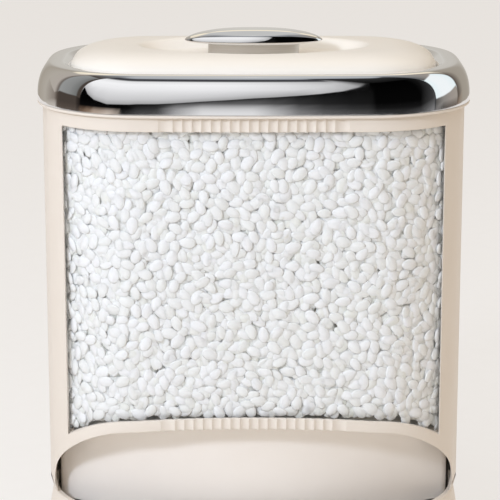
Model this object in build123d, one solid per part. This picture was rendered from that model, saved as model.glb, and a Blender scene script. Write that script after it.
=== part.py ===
from build123d import *
from collections import namedtuple
import math
import os

# Rice dispenser with a lift-off lid, a window, an arched mouth and a drawer.
# Millimetres, +Z up, the front looks towards -Y, and the origin is on the table under the
# middle of the housing. Every piece of the housing and the lid follows one plan outline,
# moved in or out by a named amount.

# ---- plan outline of the housing: bowed front and back, bowed sides, big corners
half_width = 130.0
half_depth = 78.7
front_bow = 6.6
side_bow = 1.5
corner_radius = 64.0

# ---- heights
foot_height = 6.0
skirt_clearance = 3.0        # table to the skirt's lower edge
base_height = 70.0           # table to the seam between base and shell
shell_height = 247.1
collar_flange = 1.9
lid_ring_height = 23.0
dome_crest = 31.0            # above the collar

# ---- walls and clearances
shell_wall = 3.0
tray_wall = 2.0
hopper_wall = 2.0
lid_wall = 2.2
fixed_gap = 0.3              # between curved faces of pieces that stay together
slide_gap = 0.3              # between pieces that move past each other
seat_gap = 0.3               # between the lid and the collar it rests on

# ---- body shell
shell_foot_inset = 1.6       # the shell's outer face turns in towards the seam
shell_foot_height = 7.0
window_side_strip = 15.0     # shell left beside the window
window_top_strip = 8.6       # collar lip to the window's upper edge
window_bottom_strip = 7.0    # width of the strip between mouth and window
mouth_height = 55.4          # seam to the top of the mouth
mouth_side_gap = 4.7         # mouth's widest place to the shell's side
crown_radius = 930.0
shoulder_radius = 57.0
shoulder_turn = 48.5         # degrees from the middle to the hip arc
hip_radius = 36.0

# ---- fluting on the strips above and below the window
flute_count = 17
flute_width = 5.4
flute_ridge = 0.23           # left between two flutes
flute_depth = 0.9
end_flute_width = 8.6
flute_reach = 9.0            # a flute is drawn this far past its strip, then trimmed with it

# ---- window pane
pane_flange = 3.4
pane_flange_thickness = 1.5

# ---- collar
collar_overhang = 3.1
collar_skirt_depth = 3.5
collar_skirt_thickness = 1.8
collar_opening_inset = 11.0
collar_lip_thickness = 1.8
collar_lip_depth = 4.4

# ---- hopper and its bowed lower front wall behind the mouth
hopper_height = 106.5
hopper_over_drawer = 0.5
hopper_side_room = 0.45      # between the hopper and the shell
recess_depth = 21.7          # mouth to the middle of the bowed wall
recess_side_gap = 6.5
recess_bow = 35.0
recess_corner = 8.0
recess_wall_end = -20.0      # the bowed wall stops here, towards the back
vault_clearance = 1.2        # mouth edge to the hopper's ceiling over the mouth
throat_side_inset = 58.0     # housing's side to the throat
throat_back = -22.0
hopper_side_slope = 51.0     # degrees from level
hopper_back_slope = 36.0

# ---- rice
rice_clearance = 0.4
rice_below_collar = 8.0
lump_relief = 3.2            # lumps of grains stand this far out of the rice behind the window
lump_length = 17.0
lump_width = 10.0
lump_taper = 32.0            # degrees by which a lump's sides lean in
lump_pitch = 20.0
lump_turn = 67.0             # degrees from one lump to the next
lump_edge_room = 11.0        # window's edge to the middle of the nearest lump
lump_root = 1.5              # a lump starts this far down inside the rice

# ---- base
rim_inset = 1.9
skirt_flare = 12.0
base_wall = 3.0
rim_round = 1.0
spigot_height = 7.0
spigot_root = 2.0            # the spigot starts this far down inside the wall
spigot_front = -15.0         # the spigot runs behind this line only
sill_under_tray = 0.5        # the sill under the drawer stays this far below the tray
drawer_side_inset = 18.0     # housing's side to the drawer front's edge
floor_thickness = 3.0
floor_underside = foot_height
boss_radius = 4.0
boss_height = 26.0
boss_web = 3.0
boss_side_inset = 11.0
boss_y = 22.0
boss_roof = 2.0              # left above a boss's pilot hole
base_screw_bite = 13.0
foot_side_inset = 30.0
foot_front_inset = 30.7
foot_radius = 9.0
foot_stem_radius = 2.8
foot_stem_height = 2.6
foot_round = 1.0

# ---- drawer
drawer_stroke = 80.0
tray_side_inset = 30.0       # housing's side to the tray
tray_back_inset = 18.7       # housing's back to the tray
tray_over_floor = 1.0
rim_over_tray = 10.0
runner_width = 3.5
runner_thickness = 3.0
runner_lift = 20.0           # tray underside to the runner
runner_front_inset = 20.7    # housing's front to the runner
ear_height = 7.0
ear_over_rail = 1.0
ear_length = 3.0
shutter_thickness = 2.0
shutter_behind_throat = 8.0
shutter_tab_length = 20.0
shutter_tab_depth = 6.0
shutter_tab_thickness = 1.5
shutter_tab_gap = 0.1
shutter_tab_insets = (6.0, 32.0)   # tray's back wall to each tab

# ---- drawer rails
rail_front_inset = 23.7      # housing's front to the rail
rail_end_stop = 3.0          # rail's closed end behind the runner
rail_room = 0.5              # between tray and rail
rail_screw_inset = 30.0
rail_screw_bite = 10.0
rail_cheek = 1.1
rail_over_runner = 5.0
lug_length = 4.0
lug_height = 8.0

# ---- lid
ring_foot_offset = 3.0       # ring's outer face at the collar, outside the plan outline
ring_face_top = 15.0
ring_face_inset = 2.0        # how far the ring's face has leaned in at that height
ring_face_bulge = 0.6
ring_lean_at_liner = 0.5
ring_shoulder = 6.5
ring_top_width = 8.0
ring_lip_width = 4.0
ring_lip_drop = 3.4
dome_edge_drop = 2.5         # ring's top to the start of the dome's rounded border
dome_flat = 2.0
dome_fall_width = 40.0       # width of the rounded border of the dome
dome_flange_width = 9.0
dome_flange_thickness = 2.0
dish_half_length = 62.0
dish_half_width = 31.0
dish_depth = 6.5
dish_slope_width = 8.5
liner_level = 5.0            # liner's underside above the collar
liner_thickness = 2.0
liner_skirt_depth = 9.0
liner_skirt_thickness = 1.8
seal_thickness = 1.1
seal_height = 4.0
seal_drop = 2.5
seal_root_gap = 0.1
lid_boss_side_inset = 46.0
lid_boss_front_inset = 44.7
lid_boss_below_crest = 3.5
lid_screw_bite = 10.0

# ---- knob
knob_half_length = 42.6
knob_half_depth = 13.0       # at the crease under the crown
knob_end_blunt = 0.5
knob_belly_half_depth = 10.0
knob_tip_height = 9.3        # knob tip above the dish floor
knob_crease_height = 15.7
knob_crest_height = 16.8
knob_belly_height = 6.4
neck_half_length = 28.2
neck_half_depth = 8.5
neck_pocket = 2.2
neck_pocket_gap = 0.1
knob_screw_x = 16.0
knob_screw_bite = 3.5

# ---- screws
screw_radius = 1.45
screw_hole_radius = 1.7
pilot_radius = 1.5
head_radius = 3.0
head_height = 1.8
drawer_screw_x = 45.0
drawer_screw_low = 24.0
drawer_screw_high = 44.0
drawer_screw_bite = 2.0
pilot_spare = 0.5            # a pilot hole runs on past its screw

far = 400.0                  # longer than the object, for cuts that run right through
past = 1.0                   # how far a cut is drawn past a face

# ---- sizes worked out from the values above
shell_top = base_height + shell_height
collar_top = shell_top + collar_flange
floor_top = floor_underside + floor_thickness
window_top = shell_top - window_top_strip
window_half_width = half_width - window_side_strip
mouth_crown = base_height + mouth_height
pane_depth = shell_wall + fixed_gap + pane_flange_thickness
tray_underside = floor_top + tray_over_floor
tray_top = base_height - rim_over_tray
tray_half_width = half_width - tray_side_inset
tray_back = half_depth - tray_back_inset
runner_front = runner_front_inset - half_depth
rail_front = rail_front_inset - half_depth
rail_back = tray_back + rail_end_stop
rail_inner = tray_half_width + rail_room
rail_outer = tray_half_width + runner_width + slide_gap + rail_cheek
drawer_half_opening = half_width - drawer_side_inset
throat_half_width = half_width - throat_side_inset
shutter_front = throat_back + shutter_behind_throat
boss_x = half_width - boss_side_inset
foot_x = half_width - foot_side_inset
foot_y = half_depth - foot_front_inset
lid_boss_x = half_width - lid_boss_side_inset
lid_boss_y = half_depth - lid_boss_front_inset
shutter_top = tray_top + shutter_thickness
hopper_bottom = shutter_top + hopper_over_drawer
hopper_top = hopper_bottom + hopper_height
sill_top = tray_underside - sill_under_tray
runner_level = tray_underside + runner_lift
rail_top = runner_level + runner_thickness + rail_over_runner
rice_top = collar_top - rice_below_collar
dome_top = collar_top + dome_crest
dome_spring = collar_top + lid_ring_height - dome_edge_drop
dish_floor = dome_top - dish_depth
liner_underside = collar_top + liner_level
liner_top = liner_underside + liner_thickness
ring_inner_offset = ring_foot_offset - ring_face_inset - ring_shoulder - ring_top_width - ring_lip_width
dome_edge_offset = ring_inner_offset - fixed_gap

skirt_slope = skirt_flare / (base_height - skirt_clearance)

Plan = namedtuple("Plan", "half_width half_depth front_bow side_bow corner_radius")
housing = Plan(half_width, half_depth, front_bow, side_bow, corner_radius)
bowed_wall = Plan(
    half_width - recess_side_gap, half_depth - recess_depth, recess_bow, side_bow, recess_corner
)


# ---------------------------------------------------------------- shared shapes
def outline(plan, grow=0.0):
    """Closed wire of tangent arcs, moved outwards by grow, drawn from the middle of the front."""
    front_radius = (plan.half_width**2 + plan.front_bow**2) / (2 * plan.front_bow)
    side_radius = (plan.half_depth**2 + plan.side_bow**2) / (2 * plan.side_bow)
    front_centre = Vector(0, front_radius - plan.half_depth)
    side_centre = Vector(plan.half_width - side_radius, 0)
    to_front = front_radius - plan.corner_radius
    to_side = side_radius - plan.corner_radius
    apart = side_centre - front_centre
    along = (to_front**2 - to_side**2 + apart.length**2) / (2 * apart.length)
    across = math.sqrt(to_front**2 - along**2)
    unit = apart.normalized()
    square = Vector(-unit.Y, unit.X)
    foot = front_centre + unit * along
    choices = [foot + square * across, foot - square * across]
    corner_centre = max(choices, key=lambda point: point.X - point.Y)
    to_front_join = (corner_centre - front_centre).normalized()
    to_side_join = (corner_centre - side_centre).normalized()
    ahead = Vector(0, -1)
    quarter = [
        front_centre + ahead * (front_radius + grow),
        front_centre + (ahead + to_front_join).normalized() * (front_radius + grow),
        front_centre + to_front_join * (front_radius + grow),
        corner_centre + (to_front_join + to_side_join).normalized() * (plan.corner_radius + grow),
        side_centre + to_side_join * (side_radius + grow),
    ]
    side_middle = Vector(plan.half_width + grow, 0)
    back_middle = Vector(0, plan.half_depth + grow)
    right_back = [Vector(p.X, -p.Y) for p in reversed(quarter[2:])]
    right = quarter + [side_middle] + right_back
    left = [Vector(-p.X, p.Y) for p in reversed(right)]
    points = right + [back_middle] + left
    return Wire([ThreePointArc(*points[i : i + 3]) for i in range(0, len(points) - 2, 2)])


def slab(low, high, grow=0.0, plan=housing):
    """Solid with the plan outline between two levels."""
    face = Face(outline(plan, grow)).moved(Location((0, 0, low)))
    return extrude(face, amount=high - low, dir=(0, 0, 1))


def band(low, high, outer, inner, plan=housing):
    """Upright wall between two offsets of the plan outline."""
    return slab(low, high, outer, plan) - slab(low - past, high + past, inner, plan)


def flared(low, high, grow_low, grow_high):
    """Solid whose outline changes evenly from one level to the other."""
    lower = Face(outline(housing, grow_low)).moved(Location((0, 0, low)))
    upper = Face(outline(housing, grow_high)).moved(Location((0, 0, high)))
    return loft([lower, upper], ruled=True)


def section(offset, level):
    """Point of a cross-section, given by its offset from the plan outline and its level."""
    return Vector(0, -(half_depth + offset), level)


def ring_of(edges):
    """Cross-section at the middle of the front, carried once round the plan outline."""
    return sweep(Face(Wire(edges)), path=outline(housing))


def box(x_low, x_high, y_low, y_high, z_low, z_high):
    size = (x_high - x_low, y_high - y_low, z_high - z_low)
    centre = ((x_low + x_high) / 2, (y_low + y_high) / 2, (z_low + z_high) / 2)
    return Pos(*centre) * Box(*size)


def post(x, y, low, high, radius):
    return Pos(x, y, (low + high) / 2) * Cylinder(radius, high - low)


def mirrored_pairs(x, y):
    return [(side * x, end * y) for side in (-1, 1) for end in (-1, 1)]


def mouth_prism(grow=0.0):
    """Region under the mouth's arch, moved outwards by grow and drawn out through the front."""
    second_turn = math.radians(shoulder_turn)
    half_mouth = half_width - mouth_side_gap
    crown_share = half_mouth - hip_radius - (shoulder_radius - hip_radius) * math.sin(second_turn)
    first_turn = math.asin(crown_share / (crown_radius - shoulder_radius))

    def polar(centre, radius, turn):
        return Vector(centre[0] + radius * math.sin(turn), 0, centre[1] + radius * math.cos(turn))

    crown_centre = (0, mouth_crown - crown_radius)
    step = polar(crown_centre, crown_radius - shoulder_radius, first_turn)
    shoulder_centre = (step.X, step.Z)
    step = polar(shoulder_centre, shoulder_radius - hip_radius, second_turn)
    hip_centre = (step.X, step.Z)
    right = [
        polar(crown_centre, crown_radius + grow, 0),
        polar(crown_centre, crown_radius + grow, first_turn / 2),
        polar(crown_centre, crown_radius + grow, first_turn),
        polar(shoulder_centre, shoulder_radius + grow, (first_turn + second_turn) / 2),
        polar(shoulder_centre, shoulder_radius + grow, second_turn),
        polar(hip_centre, hip_radius + grow, (second_turn + math.pi / 2) / 2),
        polar(hip_centre, hip_radius + grow, math.pi / 2),
    ]
    left = [Vector(-p.X, 0, p.Z) for p in right]
    edges = []
    for points in (right, left):
        edges += [ThreePointArc(*points[i : i + 3]) for i in (0, 2, 4)]
    below = [Vector(end.X, 0, 0) for end in (right[-1], left[-1])]
    edges += [Line(right[-1], below[0]), Line(below[0], below[1]), Line(below[1], left[-1])]
    return extrude(Face(Wire(edges)), amount=far, dir=(0, -1, 0))


def window_prism(margin=0.0):
    """Region of the window, widened by margin and drawn out through the front."""
    reach = window_half_width + margin
    upright = box(-reach, reach, -far, 0, base_height, window_top + margin)
    return upright - mouth_prism(window_bottom_strip - margin)


def front_surface(x):
    """Y of the shell's outer face near the middle of the front."""
    front_radius = (half_width**2 + front_bow**2) / (2 * front_bow)
    return front_radius - half_depth - math.sqrt(front_radius**2 - x**2)


def screw(x, y, head_level, length, up=True):
    """Pan-head screw standing upright, its head's inner face at head_level."""
    turn = 1 if up else -1
    shank = post(x, y, *sorted((head_level, head_level + turn * length)), screw_radius)
    head = post(x, y, *sorted((head_level, head_level - turn * head_height)), head_radius)
    return shank + head


# ---------------------------------------------------------------- housing
def flutes():
    """Upright hollows scooped side by side into both strips, with a wider one at each end."""
    middle = (flute_count - 1) / 2
    pitch = flute_width + flute_ridge
    last = middle * pitch + flute_ridge + (flute_width + end_flute_width) / 2
    places = [((i - middle) * pitch, flute_width) for i in range(flute_count)]
    places += [(-last, end_flute_width), (last, end_flute_width)]
    lower = (mouth_crown - flute_reach, mouth_crown + window_bottom_strip + flute_reach)
    upper = (window_top - flute_reach, shell_top + past)
    made = []
    for x, width in places:
        radius = (width**2 / 4 + flute_depth**2) / (2 * flute_depth)
        y = front_surface(x) + flute_depth - radius
        for low, high in (lower, upper):
            made.append(post(x, y, low, high, radius))
    return made


def body_shell():
    foot_top = base_height + shell_foot_height
    outer = flared(base_height, foot_top, -shell_foot_inset, 0) + slab(foot_top, shell_top)
    wall = outer - slab(base_height - past, shell_top + past, -shell_wall)
    open_wall = wall - window_prism() - mouth_prism()
    return open_wall - flutes()


def window_pane():
    lens = band(base_height, shell_top, 0, -pane_depth) & window_prism(-fixed_gap)
    flange_band = band(base_height, shell_top, -shell_wall - fixed_gap, -pane_depth)
    return lens + (flange_band & window_prism(pane_flange))


def top_collar():
    skirt_outer = -shell_wall - fixed_gap
    skirt_inner = skirt_outer - collar_skirt_thickness
    lip_outer = -collar_opening_inset + collar_lip_thickness
    corners = [
        section(collar_overhang, shell_top),
        section(collar_overhang, collar_top),
        section(-collar_opening_inset, collar_top),
        section(-collar_opening_inset, shell_top - collar_lip_depth),
        section(lip_outer, shell_top - collar_lip_depth),
        section(lip_outer, shell_top),
        section(skirt_inner, shell_top),
        section(skirt_inner, shell_top - collar_skirt_depth),
        section(skirt_outer, shell_top - collar_skirt_depth),
        section(skirt_outer, shell_top),
    ]
    return ring_of(Polyline(*corners, close=True).edges())


def sloped_bin(shrink):
    """Space over the hopper's sloped sides and back, its faces moved inwards by shrink."""
    side = math.radians(hopper_side_slope)
    back = math.radians(hopper_back_slope)
    sections = []
    for level in (hopper_bottom - past, hopper_top + past):
        rise = level - hopper_bottom
        x = throat_half_width + rise / math.tan(side) - shrink / math.sin(side)
        y = throat_back + rise / math.tan(back) - shrink / math.sin(back)
        sections.append(Pos(0, (y - far) / 2, level) * Rectangle(2 * x, y + far))
    return loft(sections, ruled=True)


def behind_bowed_wall(low, high, grow):
    """Space behind the bowed wall, which reaches back past the housing."""
    front = slab(low, high, grow, bowed_wall)
    reach = half_width - recess_side_gap + grow
    return front + box(-reach, reach, 0, far, low, high)


def hopper_space(low, high, shrink):
    """Space inside the hopper's outer faces, moved inwards by shrink."""
    whole = slab(low, high, -shell_wall - hopper_side_room - shrink)
    alcove = mouth_prism(vault_clearance + shrink) - behind_bowed_wall(0, far, -shrink)
    return whole - alcove


def hopper():
    space = hopper_space(hopper_bottom, hopper_top, 0)
    outer = space & sloped_bin(-hopper_wall)
    inner = hopper_space(hopper_bottom - past, hopper_top + past, hopper_wall) & sloped_bin(0)
    wall = band(hopper_bottom, mouth_crown, 0, -hopper_wall, bowed_wall)
    wall = wall & box(-far, far, -far, recess_wall_end, 0, far)
    wall = wall & space & mouth_prism(vault_clearance + hopper_wall)
    window_room = window_prism(pane_flange + fixed_gap) - mouth_prism(vault_clearance + hopper_wall)
    return outer - inner + wall - window_room


def rice_lumps(face_offset):
    """Six-sided lumps on the rice behind the window, staggered and turned one from the next."""
    wall = outline(housing, face_offset)
    half_long = lump_length / 2
    half_wide = lump_width / 2
    points = [(half_long, 0), (half_long / 2, half_wide), (-half_long / 2, half_wide)]
    hexagon = Polygon(*points, *[(-x, -y) for x, y in points], align=None)
    lump = extrude(hexagon, amount=lump_relief + lump_root, taper=lump_taper)
    room = window_prism(-lump_edge_room)
    made = []
    columns = int(half_width / lump_pitch)
    rows = int((window_top - base_height) / lump_pitch)
    for row in range(rows):
        level = window_top - lump_edge_room - row * lump_pitch
        for column in range(-columns, columns + 1):
            along_wall = (column + (row % 2) / 2) * lump_pitch
            spot = wall.position_at(abs(along_wall), position_mode=PositionMode.LENGTH)
            tangent = wall.tangent_at(abs(along_wall), position_mode=PositionMode.LENGTH)
            side = math.copysign(1, along_wall)
            middle = Vector(side * spot.X, spot.Y, level)
            if not room.is_inside(middle):
                continue
            outwards = Vector(side * tangent.Y, -tangent.X, 0)
            face = Plane(origin=middle - outwards * lump_root, x_dir=(0, 0, 1), z_dir=outwards)
            made.append(face * Rot(Z=lump_turn * (column + row)) * lump)
    return made


def rice():
    bottom = hopper_bottom + rice_clearance
    middle = hopper_top + rice_clearance
    low = hopper_space(bottom, middle, hopper_wall + rice_clearance) & sloped_bin(rice_clearance)
    heap = low + slab(middle, rice_top, -pane_depth - rice_clearance)
    face_offset = -pane_depth - 2 * rice_clearance - lump_relief
    set_back = band(base_height, shell_top, 0, face_offset) & window_prism()
    return heap - set_back + rice_lumps(face_offset)


def skirt_solid(inset=0.0):
    """Flared solid of the base's outer face, moved inwards by inset."""
    grow = -rim_inset - inset
    return flared(skirt_clearance, base_height, grow + skirt_flare, grow)


def skirt_cavity(inset=0.0):
    """Space inside the flared wall, drawn past both ends at the same slope."""
    grow = -rim_inset - base_wall - inset
    spread = skirt_slope * past
    return flared(skirt_clearance - past, base_height + past, grow + skirt_flare + spread, grow - spread)


def skirt():
    solid = skirt_solid()
    rim = solid.faces().sort_by(Axis.Z)[-1].edges()
    return fillet(rim, rim_round) - skirt_cavity()


def drawer_window(gap):
    """Part of the flared skirt that belongs to the drawer front."""
    reach = drawer_half_opening - gap
    return box(-reach, reach, -far, -half_depth / 2, sill_top + gap, base_height + past)


def base_shell():
    spigot_outer = -shell_wall - fixed_gap
    spigot_inner = -rim_inset - base_wall
    spigot = band(base_height - spigot_root, base_height + spigot_height, spigot_outer, spigot_inner)
    spigot = spigot & box(-far, far, spigot_front, far, 0, far)
    shell = skirt() - drawer_window(0) + spigot
    for x, y in mirrored_pairs(boss_x, boss_y):
        outwards = math.copysign(1, x)
        web_ends = sorted((x, x + outwards * far))
        boss = post(x, y, floor_top, floor_top + boss_height, boss_radius)
        web = box(*web_ends, y - boss_web / 2, y + boss_web / 2, floor_top, floor_top + boss_height)
        shell += (boss + web) & skirt_solid(base_wall / 2)
        shell -= post(x, y, floor_top - past, floor_top + boss_height - boss_roof, pilot_radius)
    return shell


def base_floor():
    grow = -rim_inset - base_wall - fixed_gap + skirt_slope * (base_height - floor_top)
    plate = slab(floor_underside, floor_top, grow)
    for x, y in mirrored_pairs(boss_x, boss_y):
        plate -= post(x, y, 0, floor_top + past, screw_hole_radius)
    for x, y in mirrored_pairs(foot_x, foot_y):
        plate -= post(x, y, 0, floor_top + past, foot_stem_radius + fixed_gap)
    for x, y in rail_screw_places():
        plate -= post(x, y, 0, floor_top + past, screw_hole_radius)
    return plate


def rubber_foot(x, y):
    pad = post(x, y, 0, foot_height, foot_radius)
    pad = fillet(pad.edges().sort_by(Axis.Z)[:1], foot_round)
    return pad + post(x, y, foot_height, foot_height + foot_stem_height, foot_stem_radius)


def base_screws():
    return [
        screw(x, y, floor_underside, floor_thickness + base_screw_bite)
        for x, y in mirrored_pairs(boss_x, boss_y)
    ]


# ---------------------------------------------------------------- drawer rails
def rail_screw_places():
    rail_middle = (rail_inner + rail_outer) / 2
    ends = (rail_front + rail_screw_inset, rail_back - rail_screw_inset)
    return [(side * rail_middle, y) for side in (-1, 1) for y in ends]


def drawer_rail(side):
    """Channel that carries the tray's runner, closed at the back, with a stop lug on top."""
    body = box(rail_inner, rail_outer, rail_front, rail_back, floor_top, rail_top)
    groove = box(
        rail_inner - past,
        tray_half_width + runner_width + slide_gap,
        rail_front - past,
        tray_back + slide_gap,
        runner_level - slide_gap,
        runner_level + runner_thickness + slide_gap,
    )
    lug_back = tray_back - ear_length - drawer_stroke - slide_gap
    lug = box(rail_inner, rail_outer, lug_back - lug_length, lug_back, rail_top, rail_top + lug_height)
    rail = body - groove + lug
    for x, y in rail_screw_places():
        if x > 0:
            rail -= post(x, y, floor_top - past, floor_top + rail_screw_bite + pilot_spare, pilot_radius)
    return rail if side > 0 else mirror(rail, about=Plane.YZ)


def rail_screws():
    length = floor_thickness + rail_screw_bite
    return [screw(x, y, floor_underside, length) for x, y in rail_screw_places()]


# ---------------------------------------------------------------- drawer
def drawer_front():
    panel = skirt() & drawer_window(slide_gap)
    for place in drawer_screw_places():
        panel -= place * Cylinder(pilot_radius, 2 * (fixed_gap + drawer_screw_bite))
    return panel


def drawer_screw_places():
    """Places on the drawer front's inner face, each square to that sloped face."""
    tilt = math.degrees(math.atan(skirt_slope))
    places = []
    for x in (-drawer_screw_x, drawer_screw_x):
        for level in (drawer_screw_low, drawer_screw_high):
            grow = -rim_inset - base_wall + skirt_slope * (base_height - level)
            y = front_surface(x) - grow
            places.append(Pos(x, y, level) * Rot(X=90 - tilt))
    return places


def drawer_screws():
    inner_face = fixed_gap + tray_wall + fixed_gap
    length = inner_face + drawer_screw_bite
    made = []
    for place in drawer_screw_places():
        shank = Pos(0, 0, drawer_screw_bite - length / 2) * Cylinder(screw_radius, length)
        head = Pos(0, 0, -inner_face - head_height / 2) * Cylinder(head_radius, head_height)
        made.append(place * (shank + head))
    return made


def drawer_tray():
    outer = box(-tray_half_width, tray_half_width, -far, tray_back, tray_underside, tray_top)
    inner_reach = tray_half_width - tray_wall
    inner = box(-inner_reach, inner_reach, -far, tray_back - tray_wall, tray_underside + tray_wall, far)
    tray = (outer & skirt_cavity(fixed_gap)) - (inner & skirt_cavity(fixed_gap + tray_wall))
    for side in (-1, 1):
        face = side * tray_half_width
        runner_x = sorted((face - side * tray_wall / 2, face + side * runner_width))
        runner_top = runner_level + runner_thickness
        tray += box(*runner_x, runner_front, tray_back, runner_level, runner_top)
        ear_low = rail_top + ear_over_rail
        tray += box(*runner_x, tray_back - ear_length, tray_back, ear_low, ear_low + ear_height)
    for place in drawer_screw_places():
        tray -= place * Cylinder(screw_hole_radius, 2 * (fixed_gap + tray_wall + past))
    return tray


def shutter_plate():
    plate = box(-tray_half_width, tray_half_width, shutter_front, tray_back, tray_top, shutter_top)
    tab_face = tray_half_width - tray_wall - shutter_tab_gap
    tab_back = tab_face - shutter_tab_thickness
    for side in (-1, 1):
        for inset in shutter_tab_insets:
            ends = sorted((side * tab_back, side * tab_face))
            end = tray_back - tray_wall - inset
            plate += box(*ends, end - shutter_tab_length, end, tray_top - shutter_tab_depth, tray_top)
    return plate


# ---------------------------------------------------------------- lid
def ring_profile(inset):
    """Edges of the ring's outer line moved inwards by inset, from the collar to the inner lip."""
    foot = collar_top + seat_gap
    face_offset = ring_foot_offset - ring_face_inset
    top_offset = face_offset - ring_shoulder
    top_level = collar_top + lid_ring_height - inset
    face_level = collar_top + ring_face_top
    shoulder_rise = top_level - face_level
    diagonal = math.sin(math.pi / 4)
    shoulder_middle = section(
        top_offset + (ring_shoulder - inset) * diagonal, face_level + shoulder_rise * diagonal
    )
    return [
        section(ring_foot_offset - inset, foot),
        section(ring_foot_offset - inset - ring_face_inset / 2 + ring_face_bulge, foot + ring_face_top / 2),
        section(face_offset - inset, face_level),
        shoulder_middle,
        section(top_offset, top_level),
    ]


def lid_ring():
    outer = ring_profile(0)
    inner = ring_profile(lid_wall)
    top_end = ring_foot_offset - ring_face_inset - ring_shoulder - ring_top_width
    top_level = collar_top + lid_ring_height
    lip = [
        section(top_end, top_level),
        section(ring_inner_offset, top_level - ring_lip_drop),
        section(ring_inner_offset, top_level - ring_lip_drop - lid_wall),
        section(top_end, top_level - lid_wall),
    ]
    edges = [
        ThreePointArc(*outer[:3]),
        ThreePointArc(*outer[2:]),
        Line(outer[-1], lip[0]),
        Line(lip[0], lip[1]),
        Line(lip[1], lip[2]),
        Line(lip[2], lip[3]),
        Line(lip[3], inner[-1]),
        ThreePointArc(*inner[2:]),
        ThreePointArc(*inner[:3]),
        Line(inner[0], outer[0]),
    ]
    return ring_of(edges)


def pillow(inset, low):
    """Solid pillow under the dome's face, moved inwards by inset."""
    edge = dome_edge_offset - inset
    top = dome_top - inset
    spring = dome_spring
    centre = Vector(0, -(half_depth + edge - dome_fall_width), spring)
    flat_end = dome_edge_offset - dome_fall_width - dome_flat
    border = Plane(origin=centre, x_dir=(0, -1, 0), z_dir=(-1, 0, 0))
    fall = border * EllipticalCenterArc(
        (0, 0), dome_fall_width, top - spring, start_angle=0, arc_size=90
    )
    edges = [
        Line(section(edge, low), section(edge, spring)),
        Edge(fall.wrapped),
        Line(section(edge - dome_fall_width, top), section(flat_end - inset, top)),
        Line(section(flat_end - inset, top), section(flat_end - inset, low)),
        Line(section(flat_end - inset, low), section(edge, low)),
    ]
    return ring_of(edges) + slab(low, top, edge - dome_fall_width - dome_flat / 2)


def dish(grow):
    """Oval finger well round the knob, widening upwards; grow moves its faces outwards."""
    rise = dish_depth + past
    spread = dish_slope_width * rise / dish_depth
    floor_level = dish_floor - grow
    lower = Pos(0, 0, floor_level) * Ellipse(dish_half_length + grow, dish_half_width + grow)
    upper = Pos(0, 0, dish_floor + rise) * Ellipse(
        dish_half_length + grow + spread, dish_half_width + grow + spread
    )
    return loft([lower, upper], ruled=True)


def lid_dome():
    flange_low = collar_top + lid_ring_height - ring_lip_drop - lid_wall - fixed_gap - dome_flange_thickness
    flange = band(
        flange_low,
        flange_low + dome_flange_thickness,
        dome_edge_offset + dome_flange_width,
        dome_edge_offset - lid_wall,
    )
    outer = pillow(0, flange_low) - dish(0)
    inner = pillow(lid_wall, flange_low - past) - dish(lid_wall)
    dome = outer - inner + flange
    for x, y in mirrored_pairs(lid_boss_x, lid_boss_y):
        dome += post(x, y, liner_top, dome_top - lid_boss_below_crest, boss_radius)
        dome -= post(x, y, liner_top - past, liner_top + lid_screw_bite + pilot_spare, pilot_radius)
    for x in (-knob_screw_x, knob_screw_x):
        dome -= post(x, 0, dish_floor - lid_wall - past, dish_floor + past, screw_hole_radius)
    return dome


def lid_liner():
    low = liner_underside
    ring_inside = ring_foot_offset - lid_wall - ring_lean_at_liner
    skirt_outer = -collar_opening_inset - slide_gap - seal_thickness - seal_root_gap
    liner = slab(low, liner_top, ring_inside - fixed_gap)
    liner += band(low - liner_skirt_depth, low + past, skirt_outer, skirt_outer - liner_skirt_thickness)
    for x, y in mirrored_pairs(lid_boss_x, lid_boss_y):
        liner -= post(x, y, low - past, liner_top + past, screw_hole_radius)
    return liner


def lid_seal():
    outer = -collar_opening_inset - slide_gap
    low = collar_top - seal_drop
    return band(low, low + seal_height, outer, outer - seal_thickness)


def lid_screws():
    length = liner_thickness + lid_screw_bite
    return [screw(x, y, liner_underside, length) for x, y in mirrored_pairs(lid_boss_x, lid_boss_y)]


# ---------------------------------------------------------------- knob
def side_arcs(low_middle, tip_level, high_middle):
    """Face in the XZ plane between two arcs that meet at the knob's tips."""
    left = Vector(-knob_half_length, 0, tip_level)
    right = Vector(knob_half_length, 0, tip_level)
    above = ThreePointArc(left, Vector(0, 0, high_middle), right)
    below = ThreePointArc(right, Vector(0, 0, low_middle), left)
    return Face(Wire([above, below]))


def knob_cap():
    """Almond bar: flanks that lean out up to a crease, and a crowned top that falls to both tips."""
    tip_level = dish_floor + knob_tip_height
    crease = dish_floor + knob_crease_height
    crest = dish_floor + knob_crest_height
    belly = dish_floor + knob_belly_height
    side_view = side_arcs(belly, tip_level, crest)
    bar = extrude(side_view, amount=2 * knob_half_depth, dir=(0, 1, 0), both=True)
    reach = knob_half_length + knob_end_blunt
    sections = [
        Pos(0, 0, belly - past) * Ellipse(reach, knob_belly_half_depth),
        Pos(0, 0, crease) * Ellipse(reach, knob_half_depth),
    ]
    flanks = loft(sections, ruled=True)
    crown_rise = crest - crease
    crown_radius_across = (knob_half_depth**2 + crown_rise**2) / (2 * crown_rise)
    crown = Pos(0, 0, crest - crown_radius_across) * Rot(Y=90) * Cylinder(crown_radius_across, far)
    cap = bar & (flanks + extrude(sections[1], amount=crown_rise)) & crown
    pocket_face = Ellipse(neck_half_length + neck_pocket_gap, neck_half_depth + neck_pocket_gap)
    cap -= extrude(Pos(0, 0, belly - past) * pocket_face, amount=neck_pocket + past)
    for x in (-knob_screw_x, knob_screw_x):
        cap -= post(x, 0, belly, belly + neck_pocket + knob_screw_bite + pilot_spare, pilot_radius)
    return cap


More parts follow.
